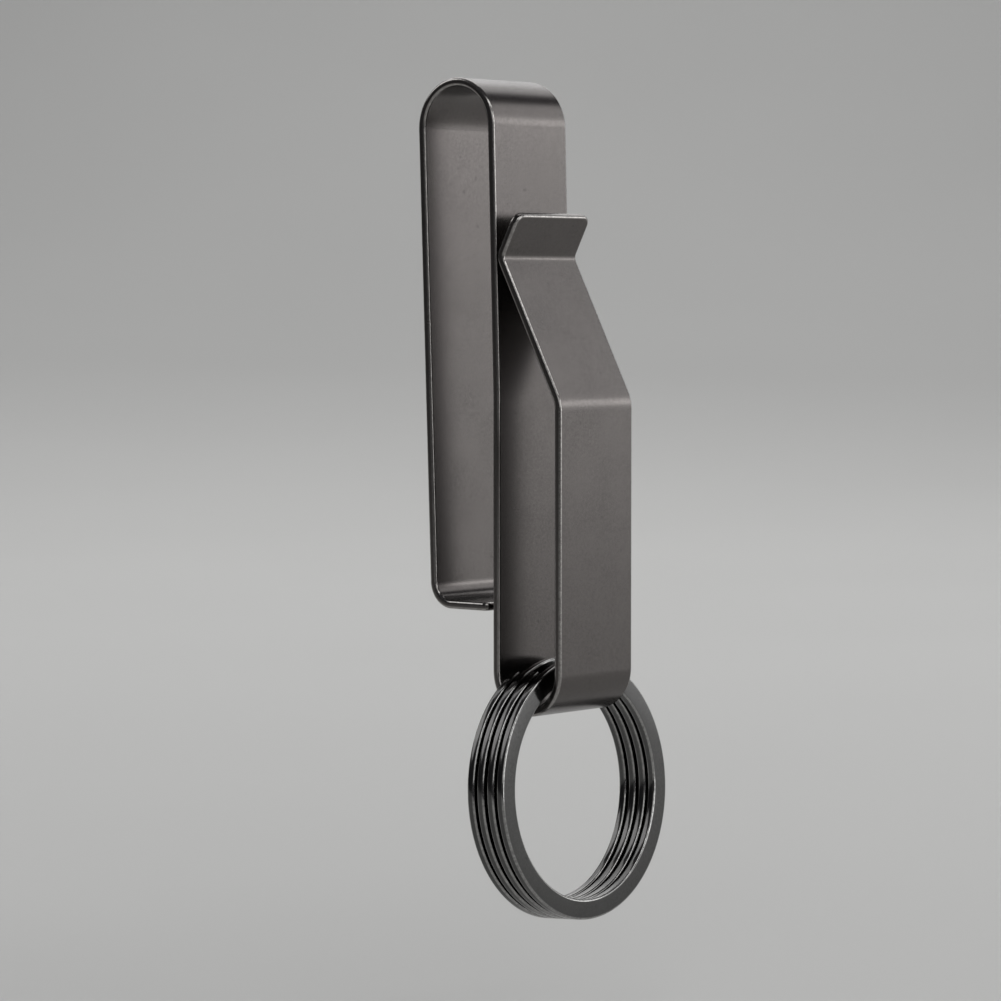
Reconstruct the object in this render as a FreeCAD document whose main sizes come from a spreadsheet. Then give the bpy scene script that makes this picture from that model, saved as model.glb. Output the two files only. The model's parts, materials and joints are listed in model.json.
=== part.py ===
import FreeCAD, Part
import math
import os
import Sketcher

# Belt key clip: one bent strip of spring steel that hooks over a belt, with two split rings in its hook.
# Millimetres and degrees. X runs across the strip, the hook faces -Y and +Z is up. The origin is where the
# belt's top edge bears: the middle of the inside of the top bend.

SIZES = [
    # The strip
    ("strip_width", 13.7, "width of the spring steel strip"),
    ("strip_thickness", 1.0, "thickness of the strip"),
    # The top bend and the plate
    ("belt_gap", 9.7, "inside width of the top bend, where the belt's edge sits"),
    ("leg_lean", 1.9, "angle by which the back leg closes towards the plate"),
    ("plate_lean", 1.5, "angle by which the plate's upper half leans back"),
    ("lean_radius", 80.0, "radius of the slight bend half way down the plate"),
    ("upper_plate", 30.7, "straight length of the plate above its slight bend"),
    ("lower_plate", 31.5, "straight length of the plate below its slight bend"),
    # The back leg
    ("leg_length", 53.9, "straight length of the back leg"),
    ("catch_radius", 2.7, "middle radius of the bend under the belt"),
    ("catch_gap", 0.8, "clearance between the catch's end and the plate"),
    # The hook
    ("key_gap", 8.3, "inside width of the bottom bend, where the rings hang"),
    ("leaf_length", 30.8, "straight length of the hook's front leaf"),
    ("ramp_angle", 27.3, "slope of the ramp from upright"),
    ("ramp_radius", 4.0, "middle radius of the bend between leaf and ramp"),
    ("throat_radius", 1.6, "middle radius of the bend between ramp and lip"),
    ("throat_gap", 0.15, "clearance between the hook and the plate at the throat"),
    ("lip_angle", 27.0, "slope of the lip from upright"),
    ("lip_length", 4.9, "straight length of the lip"),
    ("lip_corner", 1.3, "radius of the lip's two corners"),
    # The spring seams, where an arm turns in a round seat at the end of a bend
    ("seam_clearance", 0.05, "radial clearance of an arm's round end in its seat"),
    # The split rings
    ("ring_diameter", 31.0, "outer diameter of a split ring"),
    ("wire_width", 2.4, "radial width of the flat ring wire"),
    ("wire_thickness", 1.0, "thickness of the flat ring wire"),
    ("wire_corner", 0.25, "corner radius of the flat ring wire"),
    ("coil_gap", 0.56, "clear space between the two coils of one ring"),
    ("step_angle", 40.0, "angle over which the wire steps from one coil to the other"),
    ("end_angle", 3.0, "angle between a wire end and the step"),
    ("rings_gap", 0.3, "clear space between the two rings"),
    ("hang_clearance", 0.08, "clearance between the rings and the hook that carries them"),
    ("swing_angle", 3.7, "angle by which the rings hang forward of upright"),
]

LEAST_COIL_GAP = 0.4

document = FreeCAD.newDocument("belt_key_clip")
sheet = document.addObject("Spreadsheet::Sheet", "sizes")
for row, (alias, value, meaning) in enumerate(SIZES, start=1):
    sheet.set(f"A{row}", meaning)
    sheet.set(f"B{row}", str(value))
    sheet.setAlias(f"B{row}", alias)
document.recompute()

# Places that several pieces share, as expressions in the sheet's values

half_thickness = "sizes.strip_thickness / 2"
top_radius = "(sizes.belt_gap + sizes.strip_thickness) / 2"
top_turn = "(180 + sizes.leg_lean - sizes.plate_lean)"
bottom_radius = "(sizes.key_gap + sizes.strip_thickness) / 2"
seat_radius = "(sizes.strip_thickness / 2 + sizes.seam_clearance)"

# The leg seam is at the back end of the top bend, half way through the strip.
leg_seam_y = f"{top_radius} * cos(sizes.leg_lean)"
leg_seam_z = f"(-sizes.belt_gap / 2 - {top_radius} * sin(sizes.leg_lean))"

# The lower plate stands upright, further forward than the top bend by the upper half's lean.
lean_rise = "sizes.lean_radius * sin(sizes.plate_lean)"
lean_setback = "sizes.lean_radius * (1 - cos(sizes.plate_lean))"
plate_y = (
    f"(-{top_radius} * cos(sizes.plate_lean) - sizes.upper_plate * sin(sizes.plate_lean) - {lean_setback})"
)
bend_y = f"({plate_y} - {bottom_radius})"
bend_z = (
    f"(-sizes.belt_gap / 2 + {top_radius} * sin(sizes.plate_lean)"
    f" - sizes.upper_plate * cos(sizes.plate_lean) - {lean_rise} - sizes.lower_plate)"
)

# The hook seam is at the front end of the bottom bend.
hook_seam_y = f"({bend_y} - {bottom_radius})"

# The ramp is as long as it takes to bring the hook's throat up to the leaning plate.
ramp_bends = "(sizes.ramp_radius + sizes.throat_radius)"
throat_rise = (
    f"(sizes.leaf_length + {ramp_bends} * sin(sizes.ramp_angle) - sizes.lower_plate - {lean_rise})"
)
ramp_travel = (
    f"(2 * {bottom_radius} - sizes.strip_thickness - sizes.throat_gap + {lean_setback}"
    f" + {throat_rise} * tan(sizes.plate_lean) - {ramp_bends} * (1 - cos(sizes.ramp_angle)))"
)
ramp_length = f"{ramp_travel} / (sin(sizes.ramp_angle) - cos(sizes.ramp_angle) * tan(sizes.plate_lean))"

# The catch ends just short of the plate's back.
catch_length = (
    f"({leg_seam_y} - sizes.leg_length * sin(sizes.leg_lean) - sizes.catch_radius * cos(sizes.leg_lean)"
    f" - {plate_y} - {half_thickness} - sizes.catch_gap)"
)


def size(expression):
    """The present value of an expression in the sheet's values."""
    return float(sheet.evalExpression(expression))


def origin_plane(body, role):
    """One of a body's own origin planes."""
    return next(feature for feature in body.Origin.OriginFeatures if feature.Role == role)


def add_sketch(body, name, role):
    """An empty sketch on one of a body's own origin planes."""
    sketch = body.newObject("Sketcher::SketchObject", name)
    sketch.AttachmentSupport = [(origin_plane(body, role), "")]
    sketch.MapMode = "FlatFace"
    return sketch


def bind(sketch, name, constraint, expression):
    """Adds a constraint and ties its value to an expression."""
    index = sketch.addConstraint(constraint)
    sketch.renameConstraint(index, name)
    sketch.setExpression(f"Constraints.{name}", expression)


def place(body, y_expression, z_expression, turn_expression):
    """Ties a body's place and its turn about X to expressions."""
    body.Placement = FreeCAD.Placement(
        FreeCAD.Vector(0, size(y_expression), size(z_expression)),
        FreeCAD.Rotation(FreeCAD.Vector(1, 0, 0), size(turn_expression)),
    )
    body.setExpression("Placement.Base.y", y_expression)
    body.setExpression("Placement.Base.z", z_expression)
    body.setExpression("Placement.Rotation.Angle", turn_expression)


def strip_path(body, name, heading, steps):
    """The middle line of a bent strip, from the body's origin, in the upright plane across it.

    A step is ("run", length) or ("left" or "right", radius, turn), each value an expression.
    """
    sketch = add_sketch(body, name, "YZ_Plane")
    point = FreeCAD.Vector(0, 0, 0)
    angle = math.radians(heading)
    last_end = None
    for index, step in enumerate(steps):
        if step[0] == "run":
            end = point + size(step[1]) * FreeCAD.Vector(math.cos(angle), math.sin(angle), 0)
            sketch.addGeometry(Part.LineSegment(point, end))
            first, last = 1, 2
        else:
            sign = 1 if step[0] == "left" else -1
            radius = size(step[1])
            turn = math.radians(size(step[2]))
            to_centre = angle + sign * math.pi / 2
            centre = point + radius * FreeCAD.Vector(math.cos(to_centre), math.sin(to_centre), 0)
            from_centre = to_centre + math.pi
            circle = Part.Circle(centre, FreeCAD.Vector(0, 0, 1), radius)
            low, high = sorted((from_centre, from_centre + sign * turn))
            sketch.addGeometry(Part.ArcOfCircle(circle, low, high))
            angle += sign * turn
            to_end = from_centre + sign * turn
            end = centre + radius * FreeCAD.Vector(math.cos(to_end), math.sin(to_end), 0)
            first, last = (1, 2) if sign > 0 else (2, 1)
        if last_end is None:
            sketch.addConstraint(Sketcher.Constraint("Coincident", index, first, -1, 1))
            if step[0] == "run":
                sketch.addConstraint(Sketcher.Constraint("Vertical", index))
            else:
                sketch.addConstraint(Sketcher.Constraint("PointOnObject", index, 3, -1))
        else:
            sketch.addConstraint(Sketcher.Constraint("Tangent", index - 1, last_end, index, first))
        if step[0] == "run":
            bind(sketch, f"run_{index}", Sketcher.Constraint("Distance", index, size(step[1])), step[1])
        else:
            bind(sketch, f"radius_{index}", Sketcher.Constraint("Radius", index, radius), step[1])
            bind(sketch, f"turn_{index}", Sketcher.Constraint("Angle", index, turn), step[2])
        last_end = last
        point = end
    return sketch


def strip_section(body, name):
    """The strip's flat section, centred on the body's origin."""
    sketch = add_sketch(body, name, "XY_Plane")
    half_x = size("sizes.strip_width / 2")
    half_y = size(half_thickness)
    corners = [(-half_x, -half_y), (half_x, -half_y), (half_x, half_y), (-half_x, half_y)]
    for index in range(4):
        start = FreeCAD.Vector(*corners[index], 0)
        end = FreeCAD.Vector(*corners[(index + 1) % 4], 0)
        sketch.addGeometry(Part.LineSegment(start, end))
    for index in range(4):
        sketch.addConstraint(Sketcher.Constraint("Coincident", index, 2, (index + 1) % 4, 1))
        direction = "Horizontal" if index % 2 == 0 else "Vertical"
        sketch.addConstraint(Sketcher.Constraint(direction, index))
    sketch.addConstraint(Sketcher.Constraint("Symmetric", 0, 1, 1, 2, -1, 1))
    bind(sketch, "width", Sketcher.Constraint("Distance", 0, 2 * half_x), "sizes.strip_width")
    bind(sketch, "thickness", Sketcher.Constraint("Distance", 1, 2 * half_y), "sizes.strip_thickness")
    return sketch


def bent_strip(label, heading, steps):
    """A body with the strip's section swept along its middle line, and the sketch of that line."""
    body = document.addObject("PartDesign::Body", label)
    body.Label = label
    path = strip_path(body, f"{label}_path", heading, steps)
    section = strip_section(body, f"{label}_section")
    document.recompute()
    pipe = body.newObject("PartDesign::AdditivePipe", f"{label}_strip")
    pipe.Profile = section
    pipe.Spine = (path, [])
    document.recompute()
    return body, path


def across_strip(feature):
    """Makes a pad or pocket run both ways from its sketch, over the strip's width."""
    feature.Type = "Length"
    feature.SideType = "Symmetric"
    feature.setExpression("Length", "sizes.strip_width")


def add_round_end(body):
    """The arm's round end, about the seam at the body's origin."""
    sketch = add_sketch(body, f"{body.Name}_round_end", "YZ_Plane")
    circle = Part.Circle(FreeCAD.Vector(0, 0, 0), FreeCAD.Vector(0, 0, 1), size(half_thickness))
    sketch.addGeometry(circle)
    sketch.addConstraint(Sketcher.Constraint("Coincident", 0, 3, -1, 1))
    bind(sketch, "radius", Sketcher.Constraint("Radius", 0, size(half_thickness)), half_thickness)
    pad = body.newObject("PartDesign::Pad", f"{body.Name}_knuckle")
    pad.Profile = sketch
    across_strip(pad)
    document.recompute()


def cut_round_seat(body, name, path, edge, path_end):
    """A round seat cut across the strip's end, about the given end of an edge of its middle line."""
    sketch = add_sketch(body, f"{name}_sketch", "YZ_Plane")
    sketch.addExternal(path.Name, edge)
    centre = path.Shape.Edges[int(edge[4:]) - 1].Vertexes[path_end - 1].Point
    circle = Part.Circle(FreeCAD.Vector(centre.y, centre.z, 0), FreeCAD.Vector(0, 0, 1), size(seat_radius))
    sketch.addGeometry(circle)
    sketch.addConstraint(Sketcher.Constraint("Coincident", 0, 3, -3, path_end))
    bind(sketch, "radius", Sketcher.Constraint("Radius", 0, size(seat_radius)), seat_radius)
    before = body.Shape.Volume
    pocket = body.newObject("PartDesign::Pocket", name)
    pocket.Profile = sketch
    across_strip(pocket)
    document.recompute()
    if body.Shape.Volume >= before:
        raise RuntimeError(f"{name} cut nothing")


def make_belt_plate():
    """Top bend, plate and bottom bend, with a round seat at each end for an arm."""
    steps = [
        ("left", top_radius, top_turn),
        ("run", "sizes.upper_plate"),
        ("left", "sizes.lean_radius", "sizes.plate_lean"),
        ("run", "sizes.lower_plate"),
        ("right", bottom_radius, "180"),
    ]
    body, path = bent_strip("belt_plate", 90, steps)
    cut_round_seat(body, "leg_seat", path, "Edge1", 1)
    cut_round_seat(body, "hook_seat", path, "Edge5", 1)
    place(body, leg_seam_y, leg_seam_z, "-sizes.leg_lean")
    return body


def make_belt_leg():
    """The back leg, which lies behind the belt, and the catch under the belt's lower edge."""
    steps = [
        ("run", "sizes.leg_length"),
        ("right", "sizes.catch_radius", "(90 - sizes.leg_lean)"),
        ("run", catch_length),
    ]
    body, path = bent_strip("belt_leg", -90, steps)
    add_round_end(body)
    place(body, leg_seam_y, leg_seam_z, "-sizes.leg_lean")
    return body


def make_key_hook():
    """The hook's leaf, the ramp that closes on the plate, and the lip that leads a ring in."""
    steps = [
        ("run", "sizes.leaf_length"),
        ("right", "sizes.ramp_radius", "sizes.ramp_angle"),
        ("run", ramp_length),
        ("left", "sizes.throat_radius", "(sizes.ramp_angle + sizes.lip_angle)"),
        ("run", "sizes.lip_length"),
    ]
    body, path = bent_strip("key_hook", 90, steps)
    add_round_end(body)
    strip = body.Tip
    shape = strip.Shape
    top = shape.BoundBox.ZMax - size("sizes.strip_thickness")
    corners = []
    for number, edge in enumerate(shape.Edges, start=1):
        middle = edge.BoundBox.Center
        is_short = abs(edge.Length - size("sizes.strip_thickness")) < 0.01
        if is_short and middle.z > top and abs(middle.x) > size("sizes.strip_width / 2") - 0.01:
            corners.append(f"Edge{number}")
    if len(corners) != 2:
        raise RuntimeError("the lip's two corners were not found")
    fillet = body.newObject("PartDesign::Fillet", "lip_corners")
    fillet.Base = (strip, corners)
    fillet.setExpression("Radius", "sizes.lip_corner")
    document.recompute()
    place(body, hook_seam_y, bend_z, "0")
    return body


# Split rings, each one wire of two flat coils joined by a step at the top

wire_radius = size("(sizes.ring_diameter - sizes.wire_width) / 2")
coil_pitch = size("sizes.wire_thickness + sizes.coil_gap")
UP = 90.0


def on_coil(angle, height):
    """A point of the wire's middle line."""
    turn = math.radians(angle)
    return FreeCAD.Vector(wire_radius * math.cos(turn), wire_radius * math.sin(turn), height)


def along_coil(angle):
    """The wire's direction on a flat coil."""
    turn = math.radians(angle)
    return FreeCAD.Vector(-math.sin(turn), math.cos(turn), 0)


def flat_arcs(first, last, height):
    """Arcs of at most a quarter turn, on one flat coil."""
    count = math.ceil((last - first) / 90)
    arcs = []
    for index in range(count):
        start = first + (last - first) * index / count
        end = first + (last - first) * (index + 1) / count
        arcs.append(Part.Arc(on_coil(start, height), on_coil((start + end) / 2, height), on_coil(end, height)))
    return arcs


def tangent_arc(start, corner, end):
    """The arc that leaves start towards corner and reaches end from corner."""
    chord_middle = (start + end) * 0.5
    half_turn = math.asin((corner - chord_middle).Length / (corner - start).Length)
    share = math.tan(half_turn / 2) / math.tan(half_turn)
    return Part.Arc(start, chord_middle + (corner - chord_middle) * share, end)


def step_arcs(first, last, low, high):
    """Two tangent arcs that climb from the lower coil to the upper one."""
    start = on_coil(first, low)
    end = on_coil(last, high)
    leaving = along_coil(first)
    arriving = along_coil(last)
    span = end - start
    both = leaving + arriving
    bend = 1 - leaving.dot(arriving)
    along = span.dot(both)
    reach = (math.sqrt(along**2 + 2 * bend * span.dot(span)) - along) / (2 * bend)
    first_corner = start + leaving * reach
    last_corner = end - arriving * reach
    middle = (first_corner + last_corner) * 0.5
    return [tangent_arc(start, first_corner, middle), tangent_arc(middle, last_corner, end)]


def wire_section(angle, height):
    """The flat wire's rounded section at the wire's first end."""
    centre = on_coil(angle, height)
    outward = FreeCAD.Vector(centre.x, centre.y, 0).normalize()
    upward = FreeCAD.Vector(0, 0, 1)
    half_width = size("sizes.wire_width / 2")
    half_height = size("sizes.wire_thickness / 2")
    corner = size("sizes.wire_corner")

    def at(across, up):
        return centre + outward * across + upward * up

    edges = []
    for right, top in ((1, 1), (-1, 1), (-1, -1), (1, -1)):
        bend = corner * (1 - math.sqrt(0.5))
        side = at(right * half_width, top * (half_height - corner))
        crown = at(right * (half_width - corner), top * half_height)
        middle = at(right * (half_width - bend), top * (half_height - bend))
        start, end = (side, crown) if right == top else (crown, side)
        if edges:
            edges.append(Part.LineSegment(edges[-1].EndPoint, start))
        edges.append(Part.Arc(start, middle, end))
    edges.append(Part.LineSegment(edges[-1].EndPoint, edges[0].StartPoint))
    return Part.Wire([edge.toShape() for edge in edges])


def least_coil_gap(shape, step_end):
    """The least distance between the two coils, over points on the wire's skin."""
    points, _ = shape.tessellate(0.05)
    sector = 6.0
    lower = {}
    upper = {}
    for point in points:
        angle = (math.degrees(math.atan2(point.y, point.x)) - step_end) % 360
        if angle < 360 - size("sizes.step_angle"):
            coil = lower if point.z < 0 else upper
            coil.setdefault(int(angle // sector), []).append(point)
    least = size("sizes.ring_diameter")
    for index, coil_points in lower.items():
        for neighbour in (index - 1, index, index + 1):
            for other in upper.get(neighbour, []):
                least = min(least, min(other.distanceToPoint(point) for point in coil_points))
    return least


def wound_wire():
    """The wire of one split ring, about its own axis."""
    half_step = size("sizes.step_angle / 2")
    end_angle = size("sizes.end_angle")
    low, high = -coil_pitch / 2, coil_pitch / 2
    first_end = UP + half_step + end_angle
    step_start = UP - half_step + 360
    step_end = UP + half_step + 360
    last_end = UP - half_step - end_angle + 720
    curves = flat_arcs(first_end, step_start, low)
    curves += step_arcs(step_start, step_end, low, high)
    curves += flat_arcs(step_end, last_end, high)
    path = Part.Wire([curve.toShape() for curve in curves])
    shell = Part.BRepOffsetAPI.MakePipeShell(path)
    shell.add(wire_section(first_end, low), False, False)
    shell.build()
    shell.makeSolid()
    shape = shell.shape()
    gap = least_coil_gap(shape, step_end)
    print(f"split ring: least gap between its coils {gap:.3f} mm, wire length {path.Length:.1f} mm")
    if gap <= LEAST_COIL_GAP:
        raise RuntimeError("the coils of a split ring lie too close")
    return shape


def make_split_ring(label, side, shape):
    """One split ring in the hook. Side is -1 for the front ring and 1 for the rear one."""
    ring = document.addObject("Part::Feature", label)
    ring.Label = label
    ring.Shape = shape
    depth = shape.BoundBox.ZLength
    from_bend = size("sizes.rings_gap") / 2 + depth / 2
    outer_reach = size("sizes.rings_gap") / 2 + depth
    bend_reach = size("sizes.key_gap / 2 - sizes.hang_clearance")
    inner_radius = size("sizes.ring_diameter / 2 - sizes.wire_width")
    bearing_drop = math.sqrt(bend_reach**2 - outer_reach**2)
    drop = bearing_drop + math.sqrt(inner_radius**2 - size("sizes.strip_width / 2") ** 2)
    x_axis = FreeCAD.Vector(1, 0, 0)
    centred = FreeCAD.Placement(FreeCAD.Vector(0, 0, -shape.BoundBox.Center.z), FreeCAD.Rotation())
    hang = FreeCAD.Placement(FreeCAD.Vector(0, side * from_bend, -drop), FreeCAD.Rotation(x_axis, 90))
    swing = FreeCAD.Placement(
        FreeCAD.Vector(0, size(bend_y), size(bend_z)),
        FreeCAD.Rotation(x_axis, -size("sizes.swing_angle")),
    )
    ring.Placement = swing.multiply(hang).multiply(centred)
    return ring


ring_wire = wound_wire()

pieces = [
    make_belt_plate(),
    make_belt_leg(),
    make_key_hook(),
    make_split_ring("split_ring_front", -1, ring_wire),
    make_split_ring("split_ring_rear", 1, ring_wire),
]
document.recompute()

for thing in document.Objects:
    if "Invalid" in thing.State or "Error" in thing.State:
        raise RuntimeError(f"{thing.Name} failed: {thing.State}")

os.makedirs("parts", exist_ok=True)
for piece in pieces:
    shape = piece.Shape
    if shape.isNull() or not shape.isValid() or len(shape.Solids) != 1:
        raise RuntimeError(f"{piece.Label} is not one valid solid")
    shape.exportStep(f"parts/{piece.Label}.step")
    box = shape.BoundBox
    print(
        f"{piece.Label}: volume {shape.Volume:.1f}, x {box.XMin:.2f} {box.XMax:.2f},"
        f" y {box.YMin:.2f} {box.YMax:.2f}, z {box.ZMin:.2f} {box.ZMax:.2f}"
    )
print(f"leg seam: y {size(leg_seam_y):.4f}, z {size(leg_seam_z):.4f}")
print(f"hook seam: y {size(hook_seam_y):.4f}, z {size(bend_z):.4f}")
print(f"bottom bend axis: y {size(bend_y):.4f}, z {size(bend_z):.4f}")
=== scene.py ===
import json
import math

import bmesh
import bpy
from bpy.props import FloatProperty, FloatVectorProperty, IntProperty, PointerProperty
from mathutils import Matrix, Vector
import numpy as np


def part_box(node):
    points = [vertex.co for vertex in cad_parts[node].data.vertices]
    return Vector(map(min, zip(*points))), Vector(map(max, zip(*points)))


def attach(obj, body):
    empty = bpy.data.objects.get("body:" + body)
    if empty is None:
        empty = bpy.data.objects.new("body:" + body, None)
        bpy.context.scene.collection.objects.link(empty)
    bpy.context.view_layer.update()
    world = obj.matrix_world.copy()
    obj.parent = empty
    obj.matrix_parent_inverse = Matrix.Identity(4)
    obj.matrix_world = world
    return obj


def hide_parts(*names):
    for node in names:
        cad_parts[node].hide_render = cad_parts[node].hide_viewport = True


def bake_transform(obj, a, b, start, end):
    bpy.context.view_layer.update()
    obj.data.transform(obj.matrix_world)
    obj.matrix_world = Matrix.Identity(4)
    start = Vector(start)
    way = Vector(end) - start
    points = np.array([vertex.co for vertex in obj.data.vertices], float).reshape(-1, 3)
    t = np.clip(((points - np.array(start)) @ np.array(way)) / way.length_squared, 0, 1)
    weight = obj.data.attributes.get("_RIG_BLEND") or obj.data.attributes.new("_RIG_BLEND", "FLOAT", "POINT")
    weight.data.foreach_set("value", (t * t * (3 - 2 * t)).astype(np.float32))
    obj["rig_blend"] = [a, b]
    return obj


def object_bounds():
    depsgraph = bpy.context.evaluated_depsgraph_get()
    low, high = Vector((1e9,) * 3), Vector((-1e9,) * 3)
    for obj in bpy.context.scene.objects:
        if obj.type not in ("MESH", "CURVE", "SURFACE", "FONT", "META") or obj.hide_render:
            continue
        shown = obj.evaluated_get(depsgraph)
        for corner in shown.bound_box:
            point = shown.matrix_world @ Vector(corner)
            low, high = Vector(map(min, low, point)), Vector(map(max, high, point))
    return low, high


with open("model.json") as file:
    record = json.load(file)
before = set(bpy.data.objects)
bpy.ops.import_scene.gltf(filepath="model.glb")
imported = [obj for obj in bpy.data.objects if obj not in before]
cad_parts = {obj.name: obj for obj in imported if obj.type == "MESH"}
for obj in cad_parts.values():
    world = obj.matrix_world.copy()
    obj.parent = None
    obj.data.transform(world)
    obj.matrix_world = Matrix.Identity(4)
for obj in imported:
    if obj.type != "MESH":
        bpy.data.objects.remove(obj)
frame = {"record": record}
CAD_BOX = [corner.copy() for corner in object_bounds()]

bl_info = {
    "name": "Belt key clip",
    "version": (1, 0, 0),
    "blender": (4, 5, 0),
    "location": "View3D > Sidebar > Key clip",
    "description": "Dresses a belt key clip: a bent spring strip with a hook and two split rings",
    "category": "Object",
}

JOINTS = {joint["name"]: joint for joint in frame["record"]["behaviour"]["joints"]}
LEG_SEAM = Vector(JOINTS["leg_flex"]["pos_m"])
HOOK_SEAM = Vector(JOINTS["hook_flex"]["pos_m"])
SWING_AXIS = Vector(JOINTS["front_ring_swing"]["pos_m"])
PLATE_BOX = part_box("belt_plate")
LEG_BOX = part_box("belt_leg")
HOOK_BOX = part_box("key_hook")
STRIP_WIDTH = PLATE_BOX[1].x - PLATE_BOX[0].x
BOTTOM_RADIUS = SWING_AXIS.y - HOOK_SEAM.y
ACROSS = Vector((1, 0, 0))
UP = Vector((0, 0, 1))

# Segments of each round, and the angles past which an edge is rounded, or shaded as hard
EDGE_SEGMENTS = 5
CATCH_SEGMENTS = 6
LIP_SEGMENTS = 12
WIRE_SEGMENTS = 4
SHARP_ANGLE = math.radians(50)
HARD_ANGLE = math.radians(40)

# Metres within which two places count as the same
CLOSE = 1e-6

# Where the strip turns from the plate's body to the next one: reaches in metres along two lines, which slant
# so that the catch counts as leg and the throat counts as hook
TOWARD_LEG = Vector((0, 1, -0.18))
LEG_TURN_START = 0.0021
LEG_TURN_END = 0.006
TOWARD_HOOK = Vector((0, -1, 0.18))
HOOK_TURN_START = -0.0009
HOOK_TURN_END = 0.00275


# Sizes and colours that a user would change

class StripSizes(bpy.types.PropertyGroup):
    thickness: FloatProperty(
        name="Thickness", description="Thickness of the spring strip",
        default=0.001, subtype="DISTANCE", unit="LENGTH")
    edge_round: FloatProperty(
        name="Edge round", description="Radius of the strip's tumbled edges",
        default=0.00034, subtype="DISTANCE", unit="LENGTH")
    leg_lean: FloatProperty(
        name="Leg lean", description="Angle by which the back leg closes towards the plate",
        default=math.radians(1.9), subtype="ANGLE")
    plate_lean: FloatProperty(
        name="Plate lean", description="Angle by which the plate's upper half leans back",
        default=math.radians(1.5), subtype="ANGLE")
    lean_radius: FloatProperty(
        name="Lean radius", description="Radius of the slight bend half way down the plate",
        default=0.08, subtype="DISTANCE", unit="LENGTH")
    lower_plate: FloatProperty(
        name="Lower plate", description="Straight length of the plate below its slight bend",
        default=0.0315, subtype="DISTANCE", unit="LENGTH")
    plate_joint: FloatProperty(
        name="Plate joint", description="Height above the bottom bend where the strip's halves meet",
        default=0.0265, subtype="DISTANCE", unit="LENGTH")
    catch_radius: FloatProperty(
        name="Catch radius", description="Middle radius of the bend between leg and catch",
        default=0.0027, subtype="DISTANCE", unit="LENGTH")
    catch_corner: FloatProperty(
        name="Catch corner", description="Radius of the catch's two corners",
        default=0.0008, subtype="DISTANCE", unit="LENGTH")
    leaf_length: FloatProperty(
        name="Leaf length", description="Straight length of the hook's front leaf",
        default=0.0308, subtype="DISTANCE", unit="LENGTH")
    ramp_angle: FloatProperty(
        name="Ramp angle", description="Slope of the ramp from upright",
        default=math.radians(27.3), subtype="ANGLE")
    ramp_radius: FloatProperty(
        name="Ramp radius", description="Middle radius of the bend between leaf and ramp",
        default=0.004, subtype="DISTANCE", unit="LENGTH")
    throat_radius: FloatProperty(
        name="Throat radius", description="Middle radius of the bend between ramp and lip",
        default=0.0016, subtype="DISTANCE", unit="LENGTH")
    lip_angle: FloatProperty(
        name="Lip angle", description="Slope of the lip from upright",
        default=math.radians(27), subtype="ANGLE")
    lip_length: FloatProperty(
        name="Lip length", description="Straight length of the lip",
        default=0.0049, subtype="DISTANCE", unit="LENGTH")
    lip_corner: FloatProperty(
        name="Lip corner", description="Radius of the lip's two corners",
        default=0.0013, subtype="DISTANCE", unit="LENGTH")
    bend_step: FloatProperty(
        name="Bend step", description="Turn of one facet of a bend",
        default=math.radians(3), subtype="ANGLE")


class RingSizes(bpy.types.PropertyGroup):
    diameter: FloatProperty(
        name="Diameter", description="Outer diameter of a split ring",
        default=0.031, subtype="DISTANCE", unit="LENGTH")
    wire_width: FloatProperty(
        name="Wire width", description="Radial width of the flat ring wire",
        default=0.0024, subtype="DISTANCE", unit="LENGTH")
    wire_thickness: FloatProperty(
        name="Wire thickness", description="Thickness of the flat ring wire",
        default=0.00106, subtype="DISTANCE", unit="LENGTH")
    wire_corner: FloatProperty(
        name="Wire corner", description="Corner radius of the flat ring wire",
        default=0.0003, subtype="DISTANCE", unit="LENGTH")
    coil_gap: FloatProperty(
        name="Coil gap", description="Clear space between the two coils of one ring",
        default=0.0004, subtype="DISTANCE", unit="LENGTH")
    step_angle: FloatProperty(
        name="Step angle", description="Angle over which the wire steps from one coil to the other",
        default=math.radians(40), subtype="ANGLE")
    end_angle: FloatProperty(
        name="End angle", description="Angle between a wire end and the step",
        default=math.radians(3), subtype="ANGLE")
    swing_angle: FloatProperty(
        name="Swing", description="Angle by which the rings hang forward of upright",
        default=math.radians(3.7), subtype="ANGLE")
    facets: IntProperty(
        name="Facets", description="Facets in one turn of the wire", default=180, min=24)


class FinishColours(bpy.types.PropertyGroup):
    satin: FloatVectorProperty(
        name="Satin plate", description="Satin black nickel on the strip",
        default=(0.128, 0.1185, 0.1145), subtype="COLOR", min=0, max=1)
    # Partly wear, partly a painted highlight: pale enough to draw bright lines along the strip's rounded
    # edges.
    satin_worn_and_highlight: FloatVectorProperty(
        name="Worn edge", description="Brighter metal where the plating thins on the strip's edges",
        default=(0.46, 0.445, 0.43), subtype="COLOR", min=0, max=1)
    bright: FloatVectorProperty(
        name="Bright plate", description="Bright black nickel on the split rings",
        default=(0.104, 0.103, 0.102), subtype="COLOR", min=0, max=1)
    # Partly wear, partly a painted highlight: pale enough to draw bright lines along the wire's rounded
    # corners.
    bright_worn_and_highlight: FloatVectorProperty(
        name="Rubbed wire", description="Brighter metal where keys rub the wire's corners",
        default=(0.52, 0.515, 0.505), subtype="COLOR", min=0, max=1)
    floor: FloatVectorProperty(
        name="Floor", description="Pale floor and backdrop",
        default=(0.60, 0.60, 0.59), subtype="COLOR", min=0, max=1)
    surround: FloatVectorProperty(
        name="Surround", description="Dim light of the room around the studio",
        default=(0.06, 0.06, 0.063), subtype="COLOR", min=0, max=1)


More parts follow.
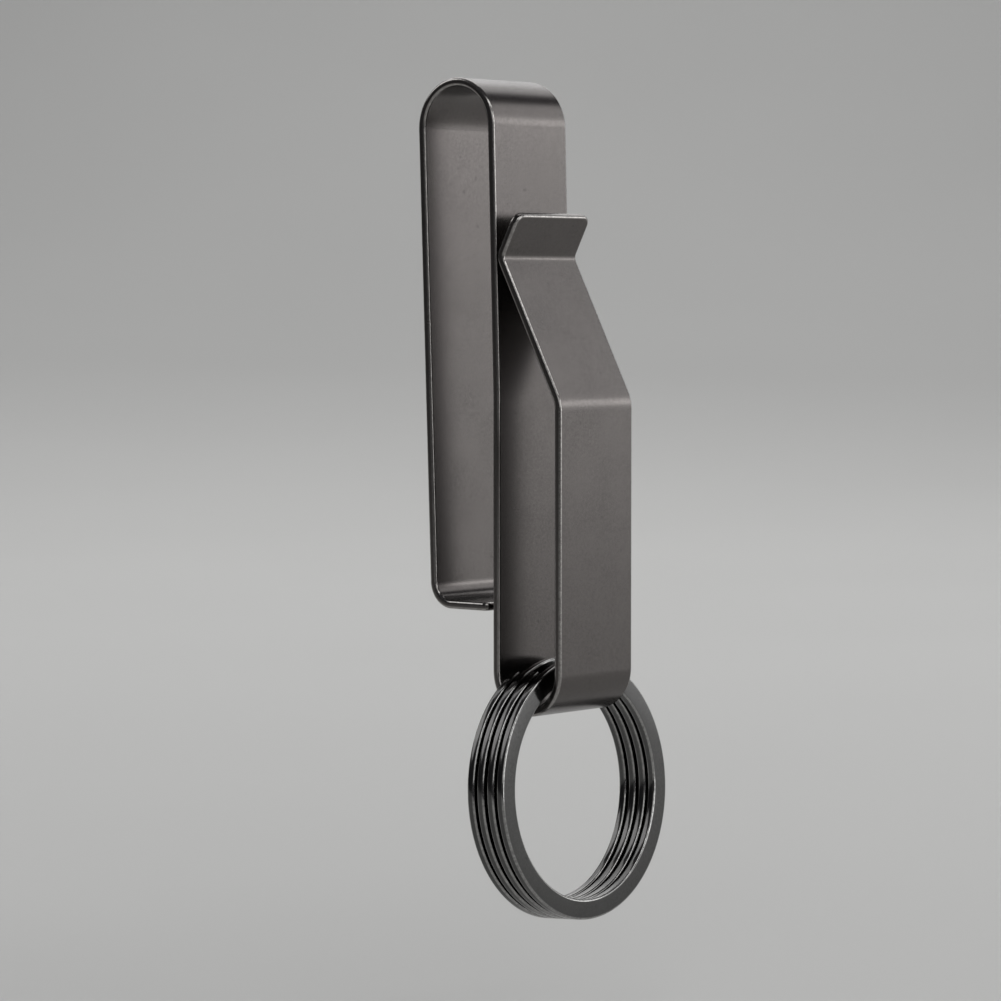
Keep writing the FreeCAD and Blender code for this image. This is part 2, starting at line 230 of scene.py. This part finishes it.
class StageSettings(bpy.types.PropertyGroup):
    azimuth: FloatProperty(
        name="Azimuth", description="Camera's direction round the clip, from its front",
        default=math.radians(-50.33), subtype="ANGLE")
    elevation: FloatProperty(
        name="Elevation", description="Camera's height above level",
        default=math.radians(3.04), subtype="ANGLE")
    distance: FloatProperty(
        name="Distance", description="Camera's distance from the point it looks at",
        default=0.4595, subtype="DISTANCE", unit="LENGTH")
    aim: FloatVectorProperty(
        name="Aim", description="Point that the camera looks at",
        default=(-0.00471, -0.00516, -0.04897), subtype="XYZ", unit="LENGTH", precision=5)
    lens: FloatProperty(
        name="Lens", description="Camera's focal length, in millimetres",
        default=139.57, subtype="DISTANCE_CAMERA", unit="CAMERA")
    floor_drop: FloatProperty(
        name="Floor drop", description="Space between the rings and the floor",
        default=0.016, subtype="DISTANCE", unit="LENGTH")


# Mesh helpers

def heading_vector(heading):
    """The direction in the strip's side plane, counted from upwards towards the back."""
    return Vector((0, math.sin(heading), math.cos(heading)))


def reached(direction, reach):
    """The point on a line through the origin where the product with its direction is the reach."""
    return direction * (reach / direction.length_squared)


def eased(share):
    """A share from 0 to 1 that starts and ends gently."""
    return share * share * (3 - 2 * share)


def extrude_edges(mesh, edges, move):
    """Extrudes edges by a move, and gives the edges at its far end."""
    made = bmesh.ops.extrude_edge_only(mesh, edges=edges)["geom"]
    far = {item for item in made if isinstance(item, bmesh.types.BMVert)}
    bmesh.ops.translate(mesh, vec=move, verts=list(far))
    return [
        item for item in made
        if isinstance(item, bmesh.types.BMEdge) and far.issuperset(item.verts)
    ]


def spin_edges(mesh, edges, centre, axis, angle, steps, climb=0):
    """Spins edges about an axis, with a climb along it at each step, and gives the last edges."""
    made = bmesh.ops.spin(
        mesh, geom=edges, cent=centre, axis=axis, dvec=axis * climb, angle=angle, steps=steps,
        use_duplicate=False)
    return [item for item in made["geom_last"] if isinstance(item, bmesh.types.BMEdge)]


def open_edges(mesh):
    """The edges round a mesh's open ends."""
    return [edge for edge in mesh.edges if len(edge.link_faces) == 1]


class StripSweep:
    """Sweeps the strip's flat section along its middle line, run by run and bend by bend."""

    def __init__(self, sizes, heading):
        self.mesh = bmesh.new()
        self.mesh.verts.layers.float.new("edge_wear_and_highlight")
        self.point = Vector((0, SWING_AXIS.y + BOTTOM_RADIUS, SWING_AXIS.z + sizes.plate_joint))
        self.heading = heading
        self.bend_step = sizes.bend_step
        side = heading_vector(heading + math.pi / 2) * (sizes.thickness / 2)
        edge = ACROSS * (STRIP_WIDTH / 2)
        corners = [edge + side, -edge + side, -edge - side, edge - side]
        self.first = [self.mesh.verts.new(self.point + corner) for corner in corners]
        self.edges = [self.mesh.edges.new((self.first[i - 1], self.first[i])) for i in range(4)]

    def run(self, length):
        """A straight stretch."""
        move = heading_vector(self.heading) * length
        self.edges = extrude_edges(self.mesh, self.edges, move)
        self.point += move

    def bend(self, radius, turn):
        """A round bend. A positive turn goes from upwards towards the back."""
        sign = math.copysign(1, turn)
        centre = self.point + heading_vector(self.heading + sign * math.pi / 2) * radius
        steps = max(2, math.ceil(abs(turn) / self.bend_step))
        self.edges = spin_edges(self.mesh, self.edges, centre, -ACROSS, turn, steps)
        self.point = centre + Matrix.Rotation(-turn, 3, ACROSS) @ (self.point - centre)
        self.heading += turn

    def close(self, edge_round, end_corner, corner_segments):
        """Caps the strip, rounds its free end and softens its edges, but leaves the joint's end flat."""
        end = {vert for edge in self.edges for vert in edge.verts}
        bmesh.ops.holes_fill(self.mesh, edges=open_edges(self.mesh), sides=4)
        bmesh.ops.recalc_face_normals(self.mesh, faces=self.mesh.faces)
        first = set(self.first)
        joint_edges = {edge for edge in self.mesh.edges if first.issuperset(edge.verts)}
        round_end_corners(self.mesh, end, end_corner, corner_segments)
        soften_edges(self.mesh, edge_round, joint_edges)


def round_end_corners(mesh, end, radius, segments):
    """Rounds the two corners of a strip's cut end, seen from its face."""
    corners = [
        edge for edge in mesh.edges
        if end.issuperset(edge.verts) and abs(edge.verts[0].co.x - edge.verts[1].co.x) < CLOSE
    ]
    bmesh.ops.bevel(
        mesh, geom=corners, offset=radius, offset_type="OFFSET", segments=segments, profile=0.5,
        affect="EDGES", material=-1)


def soften_edges(mesh, radius, kept):
    """Rounds every sharp edge but the kept ones, and marks the rounds for wear and a painted highlight."""
    sharp = [
        edge for edge in mesh.edges
        if edge not in kept and len(edge.link_faces) == 2 and edge.calc_face_angle() > SHARP_ANGLE
    ]
    made = bmesh.ops.bevel(
        mesh, geom=sharp, offset=radius, offset_type="OFFSET", segments=EDGE_SEGMENTS, profile=0.5,
        affect="EDGES", material=-1)
    rounds = set(made["faces"])
    # The marked rounds get a lighter colour: partly wear, partly a painted highlight.
    wear_and_highlight = mesh.verts.layers.float["edge_wear_and_highlight"]
    for face in rounds:
        for vert in face.verts:
            vert[wear_and_highlight] = 1.0 if rounds.issuperset(vert.link_faces) else 0.0


def mesh_object(mesh, name, material):
    """Makes a bmesh an object at the origin, with smooth faces and one material."""
    for face in mesh.faces:
        face.smooth = True
    data = bpy.data.meshes.new(name)
    mesh.to_mesh(data)
    mesh.free()
    data.materials.append(material)
    made = bpy.data.objects.new(name, data)
    bpy.context.scene.collection.objects.link(made)
    return made


def finish_piece(mesh, name, material):
    """Makes a closed bmesh a piece of the clip, with even shading on its flats."""
    bmesh.ops.recalc_face_normals(mesh, faces=mesh.faces)
    for edge in mesh.edges:
        edge.smooth = edge.calc_face_angle(0) < HARD_ANGLE
    piece = mesh_object(mesh, name, material)
    even = piece.modifiers.new("even_shading", "WEIGHTED_NORMAL")
    even.keep_sharp = True
    even.weight = 80
    return piece


# Finishes

# Widths of the grains in a plated finish, in metres
CLOUD_GRAIN = 0.006
SPECK_GRAIN = 0.0003
PIT_GRAIN = 0.0007
NOISE_ROUGHNESS = 0.55

# Shares of the plate's colour left in its clouds and in its pits, and how strongly the pits show
CLOUD_SHADE = 0.74
PIT_SHADE = 0.4
PIT_STRENGTH = 0.35

# How far clouds (as a share) and specks change the roughness, and how much of it a worn edge loses
CLOUD_ROUGH = 0.05
SPECK_ROUGH = 0.015
WORN_POLISH = 0.45

# Width of the paper's clouds in metres, and the share of its colour left in them
PAPER_GRAIN = 0.3
PAPER_SHADE = 0.97

# A mix node's sockets for its two colours and its result, by number because their names repeat
MIX_FIRST = 6
MIX_SECOND = 7
MIX_RESULT = 2


def new_material(name):
    """A material that has only its output, its shader and its coordinates."""
    material = bpy.data.materials.new(name)
    material.use_nodes = True
    nodes = material.node_tree.nodes
    nodes.clear()
    output = nodes.new("ShaderNodeOutputMaterial")
    shader = nodes.new("ShaderNodeBsdfPrincipled")
    place = nodes.new("ShaderNodeTexCoord")
    material.node_tree.links.new(shader.outputs["BSDF"], output.inputs["Surface"])
    return material, shader, place


def add_noise(material, place, grain, detail):
    """A noise whose grains are about as wide as given, in metres."""
    noise = material.node_tree.nodes.new("ShaderNodeTexNoise")
    noise.inputs["Scale"].default_value = 1 / grain
    noise.inputs["Detail"].default_value = detail
    noise.inputs["Roughness"].default_value = NOISE_ROUGHNESS
    material.node_tree.links.new(place.outputs["Object"], noise.inputs["Vector"])
    return noise.outputs["Fac"]


def add_range(material, value, low, high, from_low=0.3, from_high=0.7):
    """Maps a noise onto a range."""
    spread = material.node_tree.nodes.new("ShaderNodeMapRange")
    spread.inputs["From Min"].default_value = from_low
    spread.inputs["From Max"].default_value = from_high
    spread.inputs["To Min"].default_value = low
    spread.inputs["To Max"].default_value = high
    material.node_tree.links.new(value, spread.inputs["Value"])
    return spread.outputs["Result"]


def add_math(material, operation, one, other):
    """The result of an operation on two values, each a socket or a number."""
    node = material.node_tree.nodes.new("ShaderNodeMath")
    node.operation = operation
    for socket, value in zip(node.inputs, (one, other)):
        if isinstance(value, bpy.types.NodeSocket):
            material.node_tree.links.new(value, socket)
        else:
            socket.default_value = value
    return node.outputs["Value"]


def add_colour_mix(material, share, first, second):
    """A colour between two others, each a socket or a colour."""
    node = material.node_tree.nodes.new("ShaderNodeMix")
    node.data_type = "RGBA"
    material.node_tree.links.new(share, node.inputs["Factor"])
    for index, value in ((MIX_FIRST, first), (MIX_SECOND, second)):
        if isinstance(value, bpy.types.NodeSocket):
            material.node_tree.links.new(value, node.inputs[index])
        else:
            node.inputs[index].default_value = (*value, 1)
    return node.outputs[MIX_RESULT]


def add_bump(material, shader, height, strength, depth):
    """A bump of the given depth in metres."""
    bump = material.node_tree.nodes.new("ShaderNodeBump")
    bump.inputs["Strength"].default_value = strength
    bump.inputs["Distance"].default_value = depth
    material.node_tree.links.new(height, bump.inputs["Height"])
    material.node_tree.links.new(bump.outputs["Normal"], shader.inputs["Normal"])


def plated_metal(name, plate, worn_and_highlight, rough, grain, grain_depth, wear_and_highlight_share):
    """Black nickel plate: cloudy depth, faint pits, fine blasted grain, and brighter metal on the edges,
    partly wear and partly a painted highlight.
    """
    material, shader, place = new_material(name)
    links = material.node_tree.links
    cloud = add_noise(material, place, CLOUD_GRAIN, detail=3)
    speck = add_noise(material, place, SPECK_GRAIN, detail=3)
    pit = add_noise(material, place, PIT_GRAIN, detail=0)
    fine = add_noise(material, place, grain, detail=2)
    rub_and_highlight = material.node_tree.nodes.new("ShaderNodeAttribute")
    rub_and_highlight.attribute_name = "edge_wear_and_highlight"

    clouds = add_range(material, cloud, low=0.35, high=1)
    specks = add_range(material, speck, low=0, high=1)
    pits = add_range(material, pit, low=0, high=PIT_STRENGTH, from_low=0.8, from_high=0.86)
    darker = [channel * CLOUD_SHADE for channel in plate]
    pitted = [channel * PIT_SHADE for channel in plate]
    clouded = add_colour_mix(material, add_math(material, "MULTIPLY", clouds, specks), plate, darker)
    pocked = add_colour_mix(material, pits, clouded, pitted)

    patches = add_range(material, speck, low=0.35, high=1)
    patchy = add_math(material, "MULTIPLY", rub_and_highlight.outputs["Fac"], patches)
    wear_and_highlight = add_math(material, "MULTIPLY", patchy, wear_and_highlight_share)
    # The lighter edge colour is partly wear and partly a painted highlight along the rounded edges.
    links.new(add_colour_mix(material, wear_and_highlight, pocked, worn_and_highlight), shader.inputs["Base Color"])

    clouded_rough = add_range(material, cloud, low=rough * (1 - CLOUD_ROUGH), high=rough * (1 + CLOUD_ROUGH))
    speck_rough = add_range(material, speck, low=-SPECK_ROUGH, high=SPECK_ROUGH)
    unworn = add_math(material, "ADD", clouded_rough, speck_rough)
    polish = add_math(material, "MULTIPLY", wear_and_highlight, rough * WORN_POLISH)
    links.new(add_math(material, "SUBTRACT", unworn, polish), shader.inputs["Roughness"])
    shader.inputs["Metallic"].default_value = 1.0
    add_bump(material, shader, fine, strength=0.5, depth=grain_depth)
    return material


def satin_black_nickel(colours):
    """The strip's satin finish."""
    return plated_metal(
        "satin_black_nickel", colours.satin, colours.satin_worn_and_highlight,
        rough=0.25, grain=0.00018, grain_depth=0.000003, wear_and_highlight_share=0.8)


def bright_black_nickel(colours):
    """The rings' smoother finish."""
    return plated_metal(
        "bright_black_nickel", colours.bright, colours.bright_worn_and_highlight,
        rough=0.14, grain=0.0002, grain_depth=0.000001, wear_and_highlight_share=0.75)


def studio_paper(colours):
    """The pale paper of floor and backdrop."""
    material, shader, place = new_material("studio_paper")
    shade = add_range(material, add_noise(material, place, PAPER_GRAIN, detail=2), low=0, high=1)
    darker = [channel * PAPER_SHADE for channel in colours.floor]
    tint = add_colour_mix(material, shade, colours.floor, darker)
    material.node_tree.links.new(tint, shader.inputs["Base Color"])
    shader.inputs["Roughness"].default_value = 0.9
    return material


# Pieces

class CLIP_OT_strip_over_belt(bpy.types.Operator):
    """Make the upper half of the strip: plate, top bend, back leg and catch"""

    bl_idname = "key_clip.strip_over_belt"
    bl_label = "Strip with the leg"

    def execute(self, context):
        sizes = context.scene.clip_strip
        half = sizes.thickness / 2
        top_radius = LEG_SEAM.y / math.cos(sizes.leg_lean)
        bend_axis_z = PLATE_BOX[1].z - top_radius - half
        lean_top_z = SWING_AXIS.z + sizes.lower_plate + sizes.lean_radius * math.sin(sizes.plate_lean)
        plate_top_z = bend_axis_z + top_radius * math.sin(sizes.plate_lean)
        catch_z = LEG_BOX[0].z + half
        catch_drop = sizes.catch_radius * (1 - math.sin(sizes.leg_lean))
        leg_length = (LEG_SEAM.z - catch_drop - catch_z) / math.cos(sizes.leg_lean)

        sweep = StripSweep(sizes, heading=0)
        sweep.run(sizes.lower_plate - sizes.plate_joint)
        sweep.bend(sizes.lean_radius, sizes.plate_lean)
        sweep.run((plate_top_z - lean_top_z) / math.cos(sizes.plate_lean))
        sweep.bend(top_radius, math.pi + sizes.leg_lean - sizes.plate_lean)
        sweep.run(leg_length)
        sweep.bend(sizes.catch_radius, math.pi / 2 - sizes.leg_lean)
        sweep.run(sweep.point.y - LEG_BOX[0].y)
        sweep.close(sizes.edge_round, sizes.catch_corner, CATCH_SEGMENTS)

        satin = satin_black_nickel(context.scene.clip_finish)
        piece = finish_piece(sweep.mesh, "strip_over_belt", satin)
        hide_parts("belt_plate", "belt_leg")
        start = reached(TOWARD_LEG, LEG_TURN_START)
        end = reached(TOWARD_LEG, LEG_TURN_END)
        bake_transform(piece, "plate", "leg", start=start, end=end)
        return {"FINISHED"}


class CLIP_OT_strip_with_hook(bpy.types.Operator):
    """Make the lower half of the strip: plate, bottom bend, hook leaf, ramp and lip"""

    bl_idname = "key_clip.strip_with_hook"
    bl_label = "Strip with the hook"

    def execute(self, context):
        sizes = context.scene.clip_strip
        half = sizes.thickness / 2
        bends = sizes.ramp_radius + sizes.throat_radius
        travel = HOOK_BOX[1].y - half - HOOK_SEAM.y - bends * (1 - math.cos(sizes.ramp_angle))

        sweep = StripSweep(sizes, heading=math.pi)
        sweep.run(sizes.plate_joint)
        sweep.bend(BOTTOM_RADIUS, math.pi)
        sweep.run(sizes.leaf_length)
        sweep.bend(sizes.ramp_radius, sizes.ramp_angle)
        sweep.run(travel / math.sin(sizes.ramp_angle))
        sweep.bend(sizes.throat_radius, -sizes.ramp_angle - sizes.lip_angle)
        sweep.run(sizes.lip_length)
        sweep.close(sizes.edge_round, sizes.lip_corner, LIP_SEGMENTS)

        satin = satin_black_nickel(context.scene.clip_finish)
        piece = finish_piece(sweep.mesh, "strip_with_hook", satin)
        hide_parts("belt_plate", "key_hook")
        start = reached(TOWARD_HOOK, HOOK_TURN_START)
        end = reached(TOWARD_HOOK, HOOK_TURN_END)
        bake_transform(piece, "plate", "hook", start=start, end=end)
        return {"FINISHED"}


class CLIP_OT_split_rings(bpy.types.Operator):
    """Make the two split rings, each one flat wire wound into two coils"""

    bl_idname = "key_clip.split_rings"
    bl_label = "Split rings"

    def execute(self, context):
        sizes = context.scene.clip_rings
        material = bright_black_nickel(context.scene.clip_finish)
        upright = Matrix.Rotation(math.pi / 2, 4, "X")
        swung = Matrix.Rotation(-sizes.swing_angle, 4, "X")
        for node, body in (("split_ring_front", "front_ring"), ("split_ring_rear", "rear_ring")):
            mesh = wound_ring(sizes)
            low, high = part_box(node)
            hang = Matrix.Translation((low + high) / 2) @ swung @ upright
            bmesh.ops.transform(mesh, matrix=hang, verts=mesh.verts)
            piece = finish_piece(mesh, f"{node}_wire", material)
            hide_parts(node)
            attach(piece, body)
        return {"FINISHED"}


def wound_ring(sizes):
    """A flat wire wound into two coils about Z, which step from one to the other at +Y."""
    radius = (sizes.diameter - sizes.wire_width) / 2
    pitch = sizes.wire_thickness + sizes.coil_gap
    flat_turn = 2 * math.pi - sizes.step_angle - sizes.end_angle
    first_angle = math.pi / 2 + sizes.step_angle / 2 + sizes.end_angle

    mesh = wire_section(sizes, radius, -pitch / 2)
    turned = Matrix.Rotation(first_angle, 3, "Z")
    bmesh.ops.rotate(mesh, cent=(0, 0, 0), matrix=turned, verts=mesh.verts)
    centre = Vector((0, 0, 0))
    flat_steps = round(sizes.facets * flat_turn / (2 * math.pi))
    edges = spin_edges(mesh, mesh.edges[:], centre, UP, flat_turn, flat_steps)
    step_count = round(sizes.facets * sizes.step_angle / (2 * math.pi))
    for index in range(step_count):
        climb = pitch * (eased((index + 1) / step_count) - eased(index / step_count))
        edges = spin_edges(mesh, edges, centre, UP, sizes.step_angle / step_count, 1, climb)
    spin_edges(mesh, edges, centre, UP, flat_turn, flat_steps)
    bmesh.ops.holes_fill(mesh, edges=open_edges(mesh), sides=0)
    return mesh


def wire_section(sizes, radius, height):
    """The outline of the flat wire where it crosses +X, with its rounded corners marked for wear and a
    painted highlight.
    """
    mesh = bmesh.new()
    wear_and_highlight = mesh.verts.layers.float.new("edge_wear_and_highlight")
    side = sizes.wire_width / 2
    face = sizes.wire_thickness / 2
    verts = [
        mesh.verts.new((radius + x * side, 0, height + z * face))
        for x, z in ((1, 1), (-1, 1), (-1, -1), (1, -1))
    ]
    mesh.faces.new(verts)
    bmesh.ops.bevel(
        mesh, geom=verts, offset=sizes.wire_corner, offset_type="OFFSET", segments=WIRE_SEGMENTS,
        profile=0.5, affect="VERTICES", material=-1)
    bmesh.ops.delete(mesh, geom=mesh.faces[:], context="FACES_ONLY")
    for vert in mesh.verts:
        # Only the corner rounds are marked, so they carry rubbed metal and a painted highlight line.
        past_side = abs(vert.co.x - radius) > side - sizes.wire_corner + CLOSE
        past_face = abs(vert.co.z - height) > face - sizes.wire_corner + CLOSE
        vert[wear_and_highlight] = 1.0 if past_side and past_face else 0.0
    return mesh


# Stage

# Soft light panels: degrees round the clip from its front and above level, metres away, metres wide and
# high, and watts
PANELS = (
    ("key_panel", 55, 16.5, 0.85, 0.8, 0.62, 2.0),
    ("key_core", 58, 13, 0.8, 0.26, 0.14, 0.24),
    ("front_strip", 3, 12, 1.3, 0.7, 0.8, 4.2),
    ("edge_panel", -14, 50, 1.0, 1.2, 0.2, 2.1),
    ("right_rim_panel", 124, 24, 1.2, 0.9, 0.42, 1.1),
    ("left_rim_panel", 205, 32, 1.0, 0.7, 0.5, 2.0),
    ("left_fill_panel", -42, 22, 1.2, 0.9, 0.6, 1.5),
)

# The panel over the backdrop: metres behind the clip and above it, metres wide and high, and watts
OVERHEAD_PANEL = (1.0, 1.0, 1.6, 1.3, 8.5)

# The paper: metres across, in front of the clip, behind it up to the cove, the cove's radius, and above it
PAPER = (6.0, 3.0, 0.9, 1.6, 0.6)
COVE_STEPS = 24

# The camera's sensor in millimetres, and the nearest and farthest it sees in metres
SENSOR_WIDTH = 36
NEAREST = 0.01
FARTHEST = 20


def direction(azimuth, elevation):
    """The direction at an angle round the clip from its front, and above level."""
    level = math.cos(elevation)
    return Vector((math.sin(azimuth) * level, -math.cos(azimuth) * level, math.sin(elevation)))


def add_panel(name, place, aim, width, height, watts):
    """A soft light panel that faces a point."""
    lamp = bpy.data.lights.new(name, "AREA")
    lamp.shape = "RECTANGLE"
    lamp.size = width
    lamp.size_y = height
    lamp.energy = watts
    panel = bpy.data.objects.new(name, lamp)
    panel.location = place
    panel.rotation_euler = (aim - place).to_track_quat("-Z", "Y").to_euler()
    bpy.context.scene.collection.objects.link(panel)


class CLIP_OT_stage(bpy.types.Operator):
    """Set up the pale floor and backdrop, the soft lights and the camera"""

    bl_idname = "key_clip.stage"
    bl_label = "Stage"

    def execute(self, context):
        scene = context.scene
        stage = scene.clip_stage
        colours = scene.clip_finish
        aim = Vector(stage.aim)
        self.make_paper(stage, colours)
        scene.camera = self.make_camera(stage, aim)
        scene.collection.objects.link(scene.camera)
        self.make_lights(stage, aim)

        world = bpy.data.worlds.new("studio")
        world.use_nodes = True
        world.node_tree.nodes["Background"].inputs["Color"].default_value = (*colours.surround, 1)
        scene.world = world
        scene.view_settings.view_transform = "Standard"
        return {"FINISHED"}

    def make_paper(self, stage, colours):
        """A sheet of pale paper that lies under the clip and curves up behind it."""
        width, front, behind, cove, above = PAPER
        mesh = bmesh.new()
        ends = [mesh.verts.new((side * width / 2, -front, 0)) for side in (-1, 1)]
        edges = [mesh.edges.new(ends)]
        edges = extrude_edges(mesh, edges, Vector((0, front + behind, 0)))
        edges = spin_edges(mesh, edges, Vector((0, behind, cove)), ACROSS, math.pi / 2, COVE_STEPS)
        extrude_edges(mesh, edges, UP * above)
        floor_z = CAD_BOX[0].z - stage.floor_drop
        place = Matrix.Translation((0, 0, floor_z)) @ Matrix.Rotation(stage.azimuth, 4, "Z")
        bmesh.ops.transform(mesh, matrix=place, verts=mesh.verts)
        bmesh.ops.recalc_face_normals(mesh, faces=mesh.faces)
        paper = mesh_object(mesh, "studio_paper", studio_paper(colours))

    def make_camera(self, stage, aim):
        """The camera at the photograph's viewing angle."""
        data = bpy.data.cameras.new("camera")
        data.sensor_width = SENSOR_WIDTH
        data.lens = stage.lens
        data.clip_start = NEAREST
        data.clip_end = FARTHEST
        back = direction(stage.azimuth, stage.elevation)
        camera = bpy.data.objects.new("camera", data)
        camera.location = aim + back * stage.distance
        camera.rotation_euler = back.to_track_quat("Z", "Y").to_euler()
        return camera

    def make_lights(self, stage, aim):
        """The panels round the clip and the one over its backdrop."""
        for name, azimuth, elevation, reach, width, height, watts in PANELS:
            place = aim + direction(math.radians(azimuth), math.radians(elevation)) * reach
            add_panel(name, place, aim, width, height, watts)
        behind, above, width, height, watts = OVERHEAD_PANEL
        under = aim - direction(stage.azimuth, 0) * behind
        add_panel("overhead_panel", under + UP * above, under, width, height, watts)


class CLIP_PT_panel(bpy.types.Panel):
    """Lists the clip's pieces and its stage"""

    bl_idname = "CLIP_PT_panel"
    bl_label = "Belt key clip"
    bl_space_type = "VIEW_3D"
    bl_region_type = "UI"
    bl_category = "Key clip"

    def draw(self, context):
        for operator in OPERATORS:
            self.layout.operator(operator.bl_idname)


GROUPS = {
    "clip_strip": StripSizes,
    "clip_rings": RingSizes,
    "clip_finish": FinishColours,
    "clip_stage": StageSettings,
}
OPERATORS = (CLIP_OT_strip_over_belt, CLIP_OT_strip_with_hook, CLIP_OT_split_rings, CLIP_OT_stage)


def register():
    for group in GROUPS.values():
        bpy.utils.register_class(group)
    for operator in OPERATORS:
        bpy.utils.register_class(operator)
    bpy.utils.register_class(CLIP_PT_panel)
    for name, group in GROUPS.items():
        setattr(bpy.types.Scene, name, PointerProperty(type=group))


def unregister():
    for name in GROUPS:
        delattr(bpy.types.Scene, name)
    bpy.utils.unregister_class(CLIP_PT_panel)
    for operator in reversed(OPERATORS):
        bpy.utils.unregister_class(operator)
    for group in reversed(list(GROUPS.values())):
        bpy.utils.unregister_class(group)


def main():
    register()
    bpy.ops.key_clip.strip_over_belt()
    bpy.ops.key_clip.strip_with_hook()
    bpy.ops.key_clip.split_rings()
    bpy.ops.key_clip.stage()


if __name__ == "__main__":
    main()
